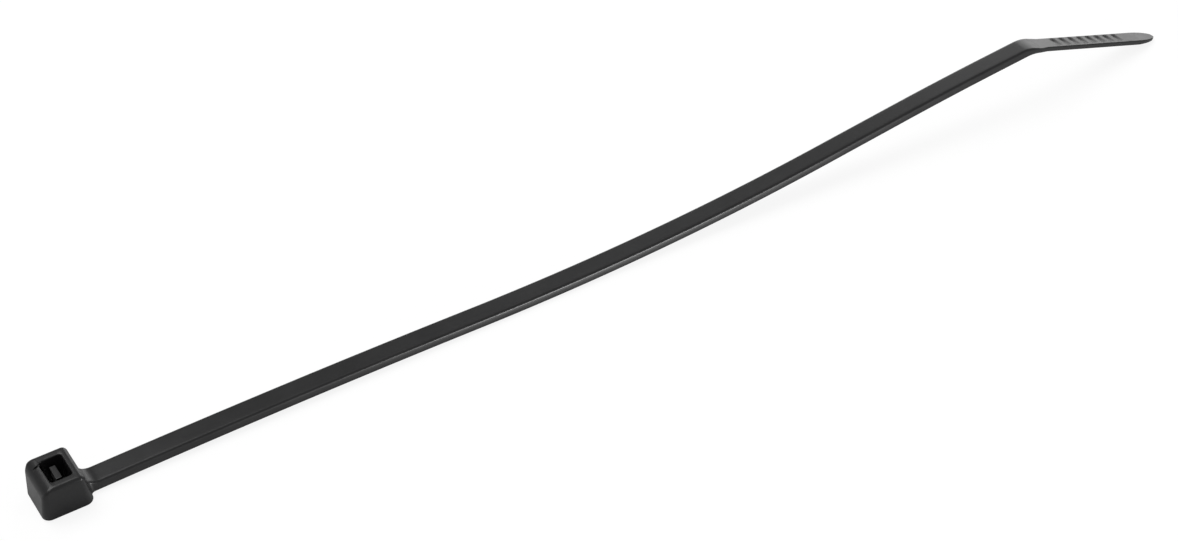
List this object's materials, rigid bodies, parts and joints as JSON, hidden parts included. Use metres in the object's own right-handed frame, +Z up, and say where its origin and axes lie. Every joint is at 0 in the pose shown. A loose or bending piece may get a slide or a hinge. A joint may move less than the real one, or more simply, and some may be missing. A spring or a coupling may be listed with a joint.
{
  "type": "cable tie",
  "caption": "Self-locking cable tie: a slotted head with a toothed pawl, a long strap with a rack of teeth underneath, and a bent tail with grip grooves and a rounded point.",
  "frame": {"origin": "middle of the slot's mouth, in the plane of the head's underside, which is the plane that the tie lies on", "axes": "+X along the strap from the head to the tail, +Y across the strap, +Z up through the slot"},
  "size_m": [0.1984, 0.0068, 0.0098],
  "materials": {
    "nylon": "satin moulded black nylon"
  },
  "bodies": {
    "root": {"cable_tie": "nylon"}
  },
  "joints": []
}
